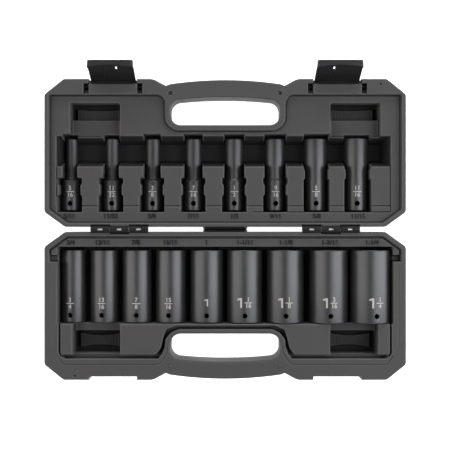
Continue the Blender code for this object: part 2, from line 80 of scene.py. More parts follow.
# ---------------------------------------------------------------- case sizes
WELL_HALF = CASE_HALF - 13.85
WELL_START = HINGE_GAP + 15.85
BASE_STOP = WELL_START + 81.6
TROUGH = (WELL_START + 48.6, WELL_START + 81.4)
PANEL_STOP = DEPTH - 16.7
PANEL_EDGE = 4.9
PANEL_Z = RIM_Z - 6.55
LAND_Z = PANEL_Z - 1.1
LEDGE_Z = RIM_Z - 2.0
FLOOR_Z = 3.2
SADDLE_Z = 8.0
SHOULDER_STOP = WELL_START + 36.7     # where the wide part of a stepped seat ends
DIMPLES = {BASE: (-159.5, DEPTH - 4.6, 2.5), LID: (165.0, DEPTH - 5.4, 1.6)}   # x, d, depth
SHADE_FROM, SHADE_OVER, SHADE_MOST = RIM_Z - 21.0, 12.0, 0.92   # painted shade: how deep places darken with depth
RIM_ROUND = 1.5
FOOT_ROUND = 3.4
DECK_STEP = 0.46           # spacing of the deck's grid
BELLY_STEP = 1.6

HANDLE_HALF = 58.5
OPENING = (BASE_STOP + 10.7, BASE_STOP + 37.1)
OPENING_BULGE = 3.5
OPENING_RADIUS = 9.5
RIDGE = 5.7
GUTTER_Z = RIM_Z - 13.0

POCKET_SPAN = {BASE: (WELL_HALF - 66.7, WELL_HALF - 16.0), LID: (WELL_HALF - 65.8, WELL_HALF - 12.7)}
POCKET_FLOOR = 6.0
POCKET_LEDGE = 22.0
PAD_Z = 12.0

HINGE_X = 112.2
KNUCKLE = 20.0
KNUCKLE_GAP = 0.5
KNUCKLE_RADIUS = 3.7
KNUCKLE_BORE = 1.75
PIN_RADIUS = 1.5
ROOM_RADIUS = 5.2          # cleared round the other half's knuckles
STOP_HALF = 23.0

LATCH_HALF = 24.1
LATCH_RECESS = LATCH_HALF + 1.5
LATCH_SLOT = 5.7
LATCH_LEAN = math.radians(18.0)
PIVOT_FLOOR = PIVOT_Z - 5.9
PIVOT_DEEP = DEPTH - PIVOT_D + 3.8
BAR_FRONT = 5.2
CATCH_DEPTH = 3.6
HOOK_DEPTH = 6.2
LIP_Z = 12.0
DOWEL = (58.0, DEPTH - 15.3)


# ---------------------------------------------------------------- plan outlines
def fillet(corners, steps=6):
    """Closed outline through (x, d, radius) corners, each corner swapped for its tangent arc."""
    points = []
    for i, (x, d, radius) in enumerate(corners):
        here = Vector((x, d))
        if radius <= 0.0:
            points.append((x, d))
            continue
        before = (Vector(corners[i - 1][:2]) - here).normalized()
        after = (Vector(corners[(i + 1) % len(corners)][:2]) - here).normalized()
        half_angle = before.angle(after) / 2
        first = here + before * radius / math.tan(half_angle)
        last = here + after * radius / math.tan(half_angle)
        centre = here + (before + after).normalized() * radius / math.sin(half_angle)
        for step in range(steps + 1):
            spoke = (first - centre).lerp(last - centre, step / steps).normalized() * radius
            points.append(tuple(centre + spoke))
    return points


def mirrored(right):
    """Close the right half of an outline, which starts and ends on x = 0, with its mirror image."""
    return right + [(-x, d) for x, d in right[-2:0:-1]]


def case_outline(notch):
    """Plan of a half, with a latch recess of the given depth on each side of the grip."""
    grip = [((HANDLE_HALF + 0.5) * (1 - k / 8), DEPTH - 1.2 - 4.4 * (1 - k / 8) ** 2) for k in range(9)]
    right = [(0.0, HINGE_GAP, 0.0), (CASE_HALF - 22.0, HINGE_GAP, 5.0), (CASE_HALF, HINGE_GAP + 15.8, 5.0),
             (CASE_HALF, DEPTH - 16.5, 5.0), (CASE_HALF - 20.5, DEPTH, 5.0),
             (LATCH_X + LATCH_RECESS, DEPTH, 0.0), (LATCH_X + LATCH_RECESS, DEPTH - notch, 0.0),
             (LATCH_X - LATCH_RECESS, DEPTH - notch, 0.0), (LATCH_X - LATCH_RECESS, DEPTH, 0.0),
             (HANDLE_HALF + 18.0, DEPTH, 14.0), (HANDLE_HALF + 4.6, DEPTH - 7.4, 2.2)]
    return mirrored(fillet(right + [(*grip[0], 0.0)])[:-1] + grip)


def hand_opening():
    """Plan of the hand opening: a rounded slot whose far side bows outward as a parabola."""
    near, far = OPENING
    slot = fillet([(-HANDLE_HALF, near, 11.5), (HANDLE_HALF, near, 11.5), (HANDLE_HALF, far, 9.5),
                   (-HANDLE_HALF, far, 9.5)], 12)
    slot = resample(slot, slot, 3.0)
    beyond = np.clip((slot[:, 1] - near - 11.5) / (far - near - 11.5), 0, 1)
    bow = OPENING_BULGE * (1 - (slot[:, 0] / HANDLE_HALF) ** 2) * beyond
    return [tuple(point) for point in np.stack([slot[:, 0], slot[:, 1] + bow], -1)]


def panel_outline():
    """Plan of the area inside the rim's seam line, which bends round the hand opening."""
    edge, corner = CASE_HALF - PANEL_EDGE, HANDLE_HALF + RIDGE
    right = fillet([(0.0, HINGE_GAP + PANEL_EDGE - 0.5, 0.0), (edge - 19.5, HINGE_GAP + PANEL_EDGE - 0.5, 5.0),
                    (edge, HINGE_GAP + 18.5, 4.0), (edge, PANEL_STOP, 2.0), (corner, PANEL_STOP, 9.0),
                    (corner, OPENING[0] - RIDGE, OPENING_RADIUS + RIDGE), (0.0, OPENING[0] - RIDGE, 0.0)])
    return mirrored(right)


def resample(points, reference, step=1.4):
    """Split each side of a closed outline into the number of parts its reference side needs."""
    parts = []
    for i, start in enumerate(points):
        stop = points[(i + 1) % len(points)]
        length = math.dist(reference[i], reference[(i + 1) % len(points)])
        share = np.arange(max(1, round(length / step))) / max(1, round(length / step))
        parts.append(np.outer(1 - share, start) + np.outer(share, stop))
    return np.concatenate(parts)


# ---------------------------------------------------------------- distances and heights
def box_distance(x, d, x0, x1, d0, d1, radius=2.0):
    """Signed distance to a rectangle with round corners, negative inside."""
    across = np.abs(x - (x0 + x1) / 2) - (x1 - x0) / 2 + radius
    along = np.abs(d - (d0 + d1) / 2) - (d1 - d0) / 2 + radius
    return np.hypot(np.maximum(across, 0), np.maximum(along, 0)) + np.minimum(np.maximum(across, along), 0) - radius


def path_distance(x, d, points):
    """Distance to an open path: the nearest of its straight parts."""
    nearest = np.full(x.shape, 1e18)
    for (x0, d0), (x1, d1) in zip(points, points[1:]):
        run, rise = x1 - x0, d1 - d0
        share = np.clip(((x - x0) * run + (d - d0) * rise) / max(run * run + rise * rise, 1e-12), 0, 1)
        nearest = np.minimum(nearest, (x - x0 - share * run) ** 2 + (d - d0 - share * rise) ** 2)
    return np.sqrt(nearest)


def outline_distance(x, d, points):
    """Signed distance to a closed outline: the nearest side, with the sign from crossings."""
    closed = points + points[:1]
    inside = np.zeros(x.shape, bool)
    for (x0, d0), (x1, d1) in zip(closed, closed[1:]):
        if d0 != d1:
            inside ^= ((d0 <= d) != (d1 <= d)) & (x < x0 + (d - d0) * (x1 - x0) / (d1 - d0))
    return np.where(inside, -1, 1) * path_distance(x, d, closed)


def ease(d, start, stop):
    """Smooth step from 0 at start to 1 at stop: 3t^2 - 2t^3."""
    share = np.clip((d - start) / (stop - start), 0, 1)
    return share * share * (3 - 2 * share)


def sink(z, s, floor, lip=0.7, draft=0.6, foot=1.2):
    """Sink a surface to a floor where s is negative.

    From outside in: a quarter-circle lip, a wall that slopes in by the draft, a quarter-circle foot.
    """
    over = np.clip((lip - s) / lip, 0, 1)
    lowest = np.minimum(z, floor)
    outside = np.maximum(z - lip * (1 - np.sqrt(1 - over ** 2)), lowest)
    share = np.clip(-s / draft, 0, 1)
    wall = floor + foot + (z - lip - floor - foot) * (1 - share)
    reach = np.clip(1 - (-s - draft) / foot, 0, 1)
    bottom = floor + foot * (1 - np.sqrt(1 - reach ** 2))
    inside = np.maximum(np.where(-s < draft, wall, bottom), lowest)
    return np.minimum(z, np.where(s > 0, outside, inside))


def swell(z, s, top, lip=1.5, slope=4.0):
    """Raise a surface to a top where s is negative, with a quarter-circle lip and steep sides."""
    over = np.clip((lip + s) / lip, 0, 1)
    return np.maximum(z, np.where(s < 0, top - lip * (1 - np.sqrt(1 - over ** 2)), top - lip - slope * s))


def groove(z, s, width, depth):
    """Press a round-bottomed line of a given width along s = 0."""
    return z - depth * np.sqrt(np.clip(1 - (2 * s / width) ** 2, 0, 1))


def channel_floor(x, centre_x, centre_z, half):
    """Height of a round-bottomed channel's floor."""
    return centre_z - np.sqrt(np.clip(half ** 2 - (x - centre_x) ** 2, 0, None))


def rim_round(s):
    """Drop of the rim where it rolls over its own edge, s being the distance to that edge."""
    return RIM_ROUND * (1 - np.sqrt(1 - np.clip((RIM_ROUND + s) / RIM_ROUND, 0, 1) ** 2))


def pocket(z, x, d, hand, span, ledge_d, deep_d, waist):
    """A finger pocket: a lighter ledge, a deep part and a ribbed pad with hollowed edges.

    The pad's half width is smallest in the middle by the waist, as a parabola across the pocket.
    """
    x0, x1 = sorted((hand * span[0], hand * span[1]))
    z = sink(z, box_distance(x, d, x0, x1, *ledge_d, 1.5), POCKET_LEDGE, 0.8, 0.5, 2.0)
    z = sink(z, box_distance(x, d, x0, x1, *deep_d, 2.5), POCKET_FLOOR, 0.8, 0.5, 1.0)
    across = (x - (x0 + x1) / 2 - hand * -2.4) / ((span[1] - span[0]) / 2 - 2.6)
    near = deep_d[0] + (3.6 if waist > 2 else 0.4) + (waist * (1 - across ** 2) if waist > 2 else 0)
    far = deep_d[1] - 5.0 - waist * (1 - across ** 2)
    s = np.maximum(np.maximum(near - d, d - far), (np.abs(across) - 1) * 20.0)
    ribs = 0.11 * np.cos(2 * math.pi * x / 3.4)
    return swell(z, s, PAD_Z + ribs, lip=0.8, slope=5.0)


def dimple(z, x, d, side, radius):
    """A small round blind hole in the rim near one corner."""
    at_x, at_d, depth = DIMPLES[side]
    return sink(z, np.hypot(x - at_x, d - at_d) - radius, RIM_Z - depth, 0.4, 0.3, 0.2)


def hinge_room(z, x, d, side):
    """Clear a round trough in the hinge edge beside each knuckle of the other half."""
    others = (1,) if side == BASE else (0, 2)
    for hinge_x in (-HINGE_X, HINGE_X):
        for index in others:
            centre = hinge_x + (index - 1) * (KNUCKLE + KNUCKLE_GAP)
            beside = np.abs(x - centre) < KNUCKLE / 2 + KNUCKLE_GAP
            trough = HINGE_Z - np.sqrt(np.clip(ROOM_RADIUS ** 2 - d ** 2, 0, None))
            z = np.where(beside & (d < ROOM_RADIUS), np.minimum(z, trough), z)
    return z


# ---------------------------------------------------------------- socket places
def socket_rows():
    """Name, half, axis x and z, nose and drive radii and both ends of every socket."""
    rows = []
    for node in sorted(frame["nodes"]):
        if not node.startswith("socket_"):
            continue
        low, high = (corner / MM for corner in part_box(node))
        half = BASE if high.y < HINGE_Y else LID
        near, far = sorted((abs(low.y - HINGE_Y), abs(high.y - HINGE_Y)))
        hexagon, drive = (near, far) if half == BASE else (far, near)
        mesh = frame["nodes"][node].data
        points = np.empty(len(mesh.vertices) * 3)
        mesh.vertices.foreach_get("co", points)
        points = points.reshape(-1, 3) / MM
        at_nose = np.abs(np.abs(points[:, 1] - HINGE_Y) - hexagon) < 8.0
        axis_x, axis_z = (low.x + high.x) / 2, (low.z + high.z) / 2
        nose = np.hypot(points[at_nose, 0] - axis_x, points[at_nose, 2] - axis_z).max()
        drive_radius = np.hypot(points[:, 0] - axis_x, points[:, 2] - axis_z).max()
        rows.append({"node": node, "half": half, "x": axis_x, "z": axis_z, "nose": nose,
                     "drive": drive_radius, "hex_d": hexagon, "drive_d": drive})
    return sorted(rows, key=lambda row: (row["half"], row["x"]))


SOCKETS = socket_rows()


# ---------------------------------------------------------------- deck heights
def seat_half(row, d):
    """Half width of a lid socket's seat along d: wide for the fingers, a gripping waist, room for
    the shoulder, then the nose; a straight socket is gripped nearer its nose."""
    nose, drive = row["nose"], row["drive"]
    if drive > nose + 0.5:
        half = drive + 2.3 - 1.8 * ease(d, 34.8, 37.9) + 1.6 * ease(d, 46.5, 50.0)
        return half + (nose + 1.4 - drive - 2.1) * ease(d, 53.4, 60.4)
    return drive + 1.9 - 1.4 * ease(d, 52.4, 54.8) + 1.2 * ease(d, 62.8, 65.6)


def lid_height(x, d, s):
    z = np.full(x.shape, RIM_Z)
    seam = outline_distance(x, d, panel_outline())
    z = sink(groove(z, seam - 0.1, 1.3, 1.2), seam, PANEL_Z, lip=0.5, draft=0.5, foot=0.5)
    z = groove(z, seam + 0.9, 1.2, 0.6)
    lands = box_distance(x, d, -WELL_HALF - 2.2, WELL_HALF - 1.4, WELL_START + 6.2, TROUGH[1], 0.8)
    z = sink(z, lands, LAND_Z, 0.4, 0.4, 0.3)
    z = groove(z, np.where(d < TROUGH[0], lands + 0.5, 9.0), 1.3, 1.3)
    front = [(30.0, WELL_START + 0.2), (WELL_HALF - 1.8, WELL_START + 0.2), (WELL_HALF - 1.8, WELL_START + 7.0)]
    z = groove(z, path_distance(x, d, front), 1.5, 1.5)
    z = sink(z, box_distance(x, d, -WELL_HALF - 2.0, WELL_HALF - 1.5, *TROUGH), FLOOR_Z, 0.7, 7.2, 0.8)
    for row in SOCKETS:
        if row["half"] != LID:
            continue
        aside = np.abs(x - row["x"])
        half = seat_half(row, d)
        drive_floor = channel_floor(x, row["x"], row["z"], row["drive"] + 0.5)
        nose_floor = channel_floor(x, row["x"], row["z"], row["nose"] + 1.2)
        stop = SHOULDER_STOP if row["drive"] > row["nose"] + 0.5 else TROUGH[0] + 4.0
        z = sink(z, np.maximum(np.maximum(aside - half, WELL_START - d), d - stop), drive_floor, 0.9, 0.5, 0.2)
        beyond = np.maximum(SHOULDER_STOP - 1.2 - d, d - TROUGH[1] - 2.3)
        lane = np.maximum(aside - np.minimum(half, row["nose"] + 1.6), beyond)
        z = sink(z, lane, nose_floor, 0.6, 0.5, 0.2)
    for hand in (-1, 1):
        deep = (PANEL_STOP - 25.7, PANEL_STOP - 8.1)
        z = pocket(z, x, d, hand, POCKET_SPAN[LID], (TROUGH[1] - 1.0, deep[0] + 1.5), deep, 1.3)
        slots = ((-LATCH_RECESS - LATCH_SLOT, -LATCH_RECESS), (LATCH_RECESS, LATCH_RECESS + LATCH_SLOT))
        for left, right in slots:
            x0, x1 = hand * LATCH_X + left, hand * LATCH_X + right
            ramp = RIM_Z - 1.0 - 1.1 * (d - PANEL_STOP)
            z = sink(z, box_distance(x, d, x0, x1, PANEL_STOP, PIVOT_D + 3.0, 0.3), ramp, 0.3, 0.3, 0.1)
            z = sink(z, box_distance(x, d, x0, x1, PIVOT_D - 3.4, PIVOT_D + 3.1, 0.3), PIVOT_Z - 2.1, 0.5, 0.4, 0.1)
        z = sink(z, np.hypot(x - hand * DOWEL[0], d - DOWEL[1]) - 2.3, RIM_Z - 2.6, 0.4, 0.2, 0.1)
    z = dimple(z, x, d, LID, 1.4)
    return hinge_room(z, x, d, LID) - rim_round(s)


def channel_outline():
    """Plan of the gutter that passes round the hinge side of the hand opening."""
    outer = [(0.0, BASE_STOP + 2.0), (52.0, BASE_STOP + 2.0), (62.8, BASE_STOP + 6.4), (65.8, BASE_STOP + 15.0),
             (68.2, BASE_STOP + 25.6), (73.5, BASE_STOP + 33.5)]
    inner = [(73.0, BASE_STOP + 37.0), (67.6, BASE_STOP + 33.4), (64.4, BASE_STOP + 25.4), (63.4, BASE_STOP + 16.4),
             (57.8, BASE_STOP + 9.8), (50.0, BASE_STOP + 6.0), (0.0, BASE_STOP + 6.0)]
    outer = fillet([(x, d, 3.0 if 0 < x < 73 else 0.0) for x, d in outer + inner], 4)
    return outer[:-1] + [(-x, d) for x, d in outer[::-1]][:-1]


def base_height(x, d, s):
    z = np.full(x.shape, RIM_Z)
    panel = outline_distance(x, d, panel_outline())
    ledge = np.maximum(panel, d - WELL_START - 16.0)
    z = sink(z, ledge, LEDGE_Z, 0.4, 0.4, 0.4)
    z = groove(z, np.where(d < WELL_START + 15.5, panel + 1.7, 9.0), 1.7, 2.2)
    for hand in (-1, 1):
        x0, x1 = sorted((hand * (WELL_HALF - 2.0), hand * (CASE_HALF - PANEL_EDGE - 0.8)))
        z = sink(z, box_distance(x, d, x0, x1, WELL_START + 8.6, WELL_START + 16.0, 0.8), RIM_Z - 12.0, 0.4)
        z = groove(z, path_distance(x, d, [(hand * 184.0, 37.0), (hand * 184.0, PANEL_STOP - 16.0)]), 1.0, 0.35)
        front = fillet([(hand * 178.2, PANEL_STOP - 9.0, 0.0), (hand * 172.0, PANEL_STOP, 3.0),
                        (hand * 69.5, PANEL_STOP, 8.0), (hand * 61.5, PANEL_STOP - 12.0, 3.0),
                        (hand * 61.0, PANEL_STOP - 20.0, 0.0)])
        z = groove(z, path_distance(x, d, front), 1.2, 1.0)
    z = sink(z, box_distance(x, d, -WELL_HALF, WELL_HALF, WELL_START, BASE_STOP + 0.5), SADDLE_Z, 0.8, 0.5)
    for row in SOCKETS:
        if row["half"] == BASE:
            half = row["drive"] + 0.5
            floor = channel_floor(x, row["x"], row["z"], half)
            s_lane = box_distance(x, d, row["x"] - half, row["x"] + half, WELL_START, BASE_STOP + 0.5, 0.5)
            z = sink(z, s_lane, floor, 0.4, 0.3, 0.1)
    z = sink(z, outline_distance(x, d, channel_outline()), GUTTER_Z, 0.9, 0.5, 0.4)
    loop = np.abs(box_distance(x, d, -WELL_HALF + 2.4, WELL_HALF - 2.4, WELL_START, PANEL_STOP - 8.2, 5.0)) - 0.9
    z = sink(z, np.where((d > BASE_STOP) & (np.abs(x) > 74.0), loop, 9.0), GUTTER_Z, 0.7, 0.3, 0.2)
    for hand in (-1, 1):
        x0, x1 = sorted((hand * 70.0, hand * (WELL_HALF - 7.0)))
        z = sink(z, box_distance(x, d, x0, x1, PANEL_STOP - 10.4, PANEL_STOP - 6.1, 1.0), GUTTER_Z, 0.9, 0.5, 0.4)
        deep = (BASE_STOP + 8.9, PANEL_STOP - 10.2)
        z = pocket(z, x, d, hand, POCKET_SPAN[BASE], (BASE_STOP - 1.0, deep[0] + 1.5), deep, 2.6)
        z = swell(z, np.hypot(x - hand * DOWEL[0], d - DOWEL[1]) - 1.4, RIM_Z + 1.9, 0.6, 12.0)
    z = dimple(z, x, d, BASE, 1.3)
    return hinge_room(z, x, d, BASE) - rim_round(s)


def belly_height(x, d, s):
    """Underside of a half, measured up from the table: a sunk field with raised bars across it."""
    field = sink(np.full(x.shape, 1.2), s + 9.0, 0.0, 0.5, 1.0, 0.2)
    bars = np.full(x.shape, 1e9)
    for centre in (-130.0, -85.0, 85.0, 130.0):
        bars = np.minimum(bars, box_distance(x, d, centre - 7.0, centre + 7.0, 22.0, DEPTH - 26.0, 6.0))
    return 1.2 - swell(field, bars, 1.2, 0.6, 1.0)


# ---------------------------------------------------------------- meshes
def make_piece(name, points, faces, material, body, node=None, slot=None, sharp=None):
    """Put an array of points, in millimetres, and an array of faces into a piece that rides on a body."""
    faces = np.asarray(faces, np.int32)
    mesh = bpy.data.meshes.new(name)
    mesh.vertices.add(len(points))
    mesh.vertices.foreach_set("co", (np.asarray(points) * MM).astype(np.float32).ravel())
    mesh.loops.add(faces.size)
    mesh.loops.foreach_set("vertex_index", faces.ravel())
    mesh.polygons.add(len(faces))
    mesh.polygons.foreach_set("loop_start", np.arange(len(faces), dtype=np.int32) * faces.shape[1])
    mesh.update(calc_edges=True)
    mesh.validate()
    return dress(bpy.data.objects.new(name, mesh), material, body, node, sharp)


def loose_body(name, points, faces):
    """An object from corners, in millimetres, and faces with any number of corners."""
    mesh = bpy.data.meshes.new(name)
    mesh.from_pydata((np.asarray(points) * MM).tolist(), [], faces)
    piece = bpy.data.objects.new(name, mesh)
    bpy.context.scene.collection.objects.link(piece)
    return piece


def dress(piece, material, body, node=None, sharp=None):
    """Shade a finished mesh, give it its material, and hang it on its body."""
    mesh = piece.data
    if piece.name not in bpy.context.scene.collection.objects:
        bpy.context.scene.collection.objects.link(piece)
    mesh.shade_smooth()
    if sharp:
        mesh.set_sharp_from_angle(angle=math.radians(sharp))
    mesh.materials.clear()
    mesh.materials.append(material)
    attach(piece, body)
    if node:
        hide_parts(node)
    return piece


def grid_faces(rows, columns, close_rows=False, close_columns=True):
    """Quads of a grid of points, closed round either way."""
    i = np.arange(rows if close_rows else rows - 1)[:, None]
    j = np.arange(columns if close_columns else columns - 1)[None, :]
    below, right = (i + 1) % rows, (j + 1) % columns
    corners = (i * columns + j, i * columns + right, below * columns + right, below * columns + j)
    return np.stack(np.broadcast_arrays(*corners), -1).reshape(-1, 4)


def world(side, x, d, z):
    return np.stack([x, HINGE_Y + side * d, z], -1)


def height_sheet(name, side, step, x_range, distance, height, up, material, body, node):
    """A height over a plan grid, whose outermost points are moved along the distance's slope onto the edge."""
    xs = np.arange(round(x_range[0] / step), round(x_range[1] / step) + 1) * step
    ds = np.arange(HINGE_GAP - step, DEPTH + 2 * step, step)
    x, d = np.meshgrid(xs, ds, indexing="ij")
    s = distance(x, d)
    slope_x, slope_d = np.gradient(s, step)
    steep = np.maximum(slope_x ** 2 + slope_d ** 2, 0.25)
    beyond = np.where((s > 0) & (s < 2 * step), s, 0) / steep
    x, d = x - beyond * slope_x, d - beyond * slope_d
    edge = np.where(s > 0, 0.0, s)
    z = height(x, d, edge)
    quads = grid_faces(*x.shape, close_columns=False)
    inside = (s < 0).ravel()
    quads = quads[inside[quads].any(1)]
    if (side == LID) == up:
        quads = quads[:, ::-1]
    used, quads = np.unique(quads, return_inverse=True)
    points = world(side, x, d, z).reshape(-1, 3)[used]
    piece = make_piece(name, points, quads.reshape(-1, 4), material, body, node, "case_plastic")
    if up:
        # the second attribute is painted shade, which darkens steep walls and deep places of the deck
        for word, values in zip(("edge", "hollow"), deck_wear_and_shade(z, step)):
            attribute = piece.data.attributes.new(word, "FLOAT", "POINT")
            attribute.data.foreach_set("value", values.ravel()[used].astype(np.float32))
    return piece


def deck_wear_and_shade(z, step):
    """Rubbed edges of a deck, and painted shade on its steep walls and deep places.

    Edge: how far a point stands above the mean of its four neighbours two cells away. Painted shade:
    the larger of how steep the surface is and the square of how deep it lies under the rim.
    """
    wide = np.pad(z, 2, mode="edge")
    around = (wide[4:, 2:-2] + wide[:-4, 2:-2] + wide[2:-2, 4:] + wide[2:-2, :-4]) / 4
    edge = np.clip((z - around - 0.04) * 2.2, 0, 1)
    slope = np.hypot(*np.gradient(z, step))
    steep = np.clip((slope - 0.7) / 1.6, 0, 1)
    deep = np.clip((SHADE_FROM - z) / SHADE_OVER, 0, 1) ** 2 * SHADE_MOST
    return edge * (1 - deep), np.maximum(steep, deep)


def normals_of(points):
    """Unit normals to the left of a closed run of points."""
    run = np.roll(points, -1, 0) - np.roll(points, 1, 0)
    return np.stack([-run[:, 1], run[:, 0]], -1) / np.maximum(np.hypot(*run.T), 1e-9)[:, None]


def skin(name, side, rings, material, body, node):
    """A wall through closed rings of (x, d) points with their heights."""
    points = np.concatenate([world(side, ring[:, 0], ring[:, 1], z + np.zeros(len(ring))) for ring, z in rings])
    faces = grid_faces(len(rings), len(rings[0][0]))
    piece = make_piece(name, points, faces if side == BASE else faces[:, ::-1], material, body, node,
                       "case_plastic", 50)
    return piece


def outer_wall(side, levels, height, material):
    """Outside of a half: its outline at each level, then a quarter-circle roll under the foot."""
    reference = case_outline(PIVOT_DEEP)
    top = resample(case_outline(levels[0][1]), reference)
    top_z = height(top[:, 0], top[:, 1], np.zeros(len(top)))
    rings = [(top, top_z)]
    for z, notch in levels:
        rings.append((resample(case_outline(notch), reference), np.minimum(z, top_z)))
    plain = resample(case_outline(0.0), reference)
    inward = normals_of(plain)
    for angle in np.linspace(0, math.pi / 2, 7):
        roll = plain + inward * FOOT_ROUND * (1 - math.cos(angle))
        rings.append((roll, FOOT_ROUND * (1 - math.sin(angle))))
    return skin(f"{BODY[side]}_outer_wall", side, rings, material, BODY[side], f"{BODY[side]}_case")


def opening_wall(side, material):
    """Inside of the hand opening, from the deck to the underside, rolled over at the bottom."""
    points = hand_opening()
    edge = resample(points, points)
    outward = -normals_of(edge)
    rings = [(edge, RIM_Z - RIM_ROUND), (edge, 20.0)]
    for angle in np.linspace(0, math.pi / 2, 6):
        rings.append((edge + outward * 2.0 * (1 - math.cos(angle)), 2.0 * (1 - math.sin(angle))))
    return skin(f"{BODY[side]}_hand_opening", side, rings[::-1], material, BODY[side], f"{BODY[side]}_case")


def make_half(side, levels, height, material):
    """Deck in three tiles, underside, outside wall and the wall of the hand opening."""
    outline, opening = case_outline(levels[0][1]), hand_opening()
    plain = case_outline(0.0)

    def deck_distance(x, d):
        return np.maximum(outline_distance(x, d, outline), -outline_distance(x, d, opening))

    def belly_distance(x, d):
        rolled = outline_distance(x, d, plain) + FOOT_ROUND
        return np.maximum(rolled, 2.0 - outline_distance(x, d, opening))

    body = BODY[side]
    third = CASE_HALF / 3
    tiles = {"left": (-CASE_HALF - 1, -third), "middle": (-third, third), "right": (third, CASE_HALF + 1)}
    for word, x_range in tiles.items():
        height_sheet(f"{body}_deck_{word}", side, DECK_STEP, x_range, deck_distance, height, True, material,
                     body, f"{body}_case")
    height_sheet(f"{body}_underside", side, BELLY_STEP, (-CASE_HALF - 1, CASE_HALF + 1), belly_distance,
                 belly_height, False, material, body, f"{body}_case")
    outer_wall(side, levels, height, material)
    opening_wall(side, material)


def lathe(name, axis, profile, material, body, steps=48, **words):
    """A closed ring of section points (distance along X, radius) turned about an X axis."""
    turn = np.arange(steps) * 2 * math.pi / steps
    run, radius = np.array(profile).T
    x = axis[0] + run[:, None] + 0 * turn
    y = axis[1] + radius[:, None] * np.cos(turn)
    z = axis[2] + radius[:, None] * np.sin(turn)
    faces = grid_faces(len(profile), steps, close_rows=True)[:, ::-1]
    return make_piece(name, np.stack([x, y, z], -1).reshape(-1, 3), faces, material, body, sharp=40, **words)


def drill(piece, cutter):
    """Cut a closed body out of a piece, then remove the body."""
    modifier = piece.modifiers.new("cut", "BOOLEAN")
    modifier.operation = "DIFFERENCE"
    modifier.object = cutter
    modifier.solver = "EXACT"
    graph = bpy.context.evaluated_depsgraph_get()
    finished = bpy.data.meshes.new_from_object(piece.evaluated_get(graph))
    piece.modifiers.clear()
    piece.data = finished
    bpy.data.objects.remove(cutter, do_unlink=True)
    return piece


def cutter_rod(foot, axis, lengths, radii, steps=40):
    """A round closed body along an axis, for cutting: rings of given radii at lengths from its foot."""
    axis = Vector(axis).normalized()
    side = axis.orthogonal().normalized()
    turn = np.arange(steps) * 2 * math.pi / steps
    round_arm = np.outer(np.cos(turn), side) + np.outer(np.sin(turn), axis.cross(side))
    along = np.outer(lengths, axis)[:, None, :]
    points = np.array(foot) + along + np.array(radii)[:, None, None] * round_arm
    ends = [list(range(steps))[::-1], list(range((len(radii) - 1) * steps, len(radii) * steps))]
    return loose_body("cutter", points.reshape(-1, 3), grid_faces(len(radii), steps).tolist() + ends)


def box_cutter(x0, x1, y0, y1, z0, z1):
    """A closed box for cutting."""
    corners = [(x, y, z) for x in (x0, x1) for y in (y0, y1) for z in (z0, z1)]
    faces = [(0, 1, 3, 2), (4, 6, 7, 5), (0, 4, 5, 1), (2, 3, 7, 6), (0, 2, 6, 4), (1, 5, 7, 3)]
    return loose_body("cutter", corners, faces)


def rounded_block(name, low, high, radius, material, body, node, lean=0.0, rows=24, columns=48):
    """A block with round edges: a sphere's grid pulled apart to the eight corners of an inner box.

    The lean slants the two ends, in millimetres of x for each millimetre of height.
    """
    low, high = np.array(low), np.array(high)
    v = (np.linspace(0, math.pi, rows))[:, None]
    u = ((np.arange(columns) + 0.5) * 2 * math.pi / columns)[None, :]
    ball = np.stack([np.sin(v) * np.cos(u), np.sin(v) * np.sin(u), np.cos(v) + 0 * u], -1)
    lobes = np.sign(ball) * np.abs(ball) ** 0.9
    lobes /= np.linalg.norm(lobes, axis=-1, keepdims=True)
    middle, reach = (low + high) / 2, (high - low) / 2 - radius
    side = np.where(np.abs(ball) < 1e-9, 1.0, np.sign(ball))
    points = middle + side * reach + lobes * radius
    points[..., 0] += np.sign(points[..., 0] - middle[0]) * lean * (middle[2] - points[..., 2])
    faces = grid_faces(rows, columns)[:, ::-1]
    flat = points.reshape(-1, 3)
    caps = []
    for row, flip in ((0, False), (rows - 1, True)):
        ring = np.arange(columns) + row * columns
        half = columns // 2
        strip = np.stack([ring[:half - 1], ring[1:half], ring[::-1][1:half], ring[::-1][:half - 1]], -1)
        caps.append(strip if flip else strip[:, ::-1])
    return make_piece(name, flat, np.concatenate([faces] + caps), material, body, node, "case_plastic", 60)


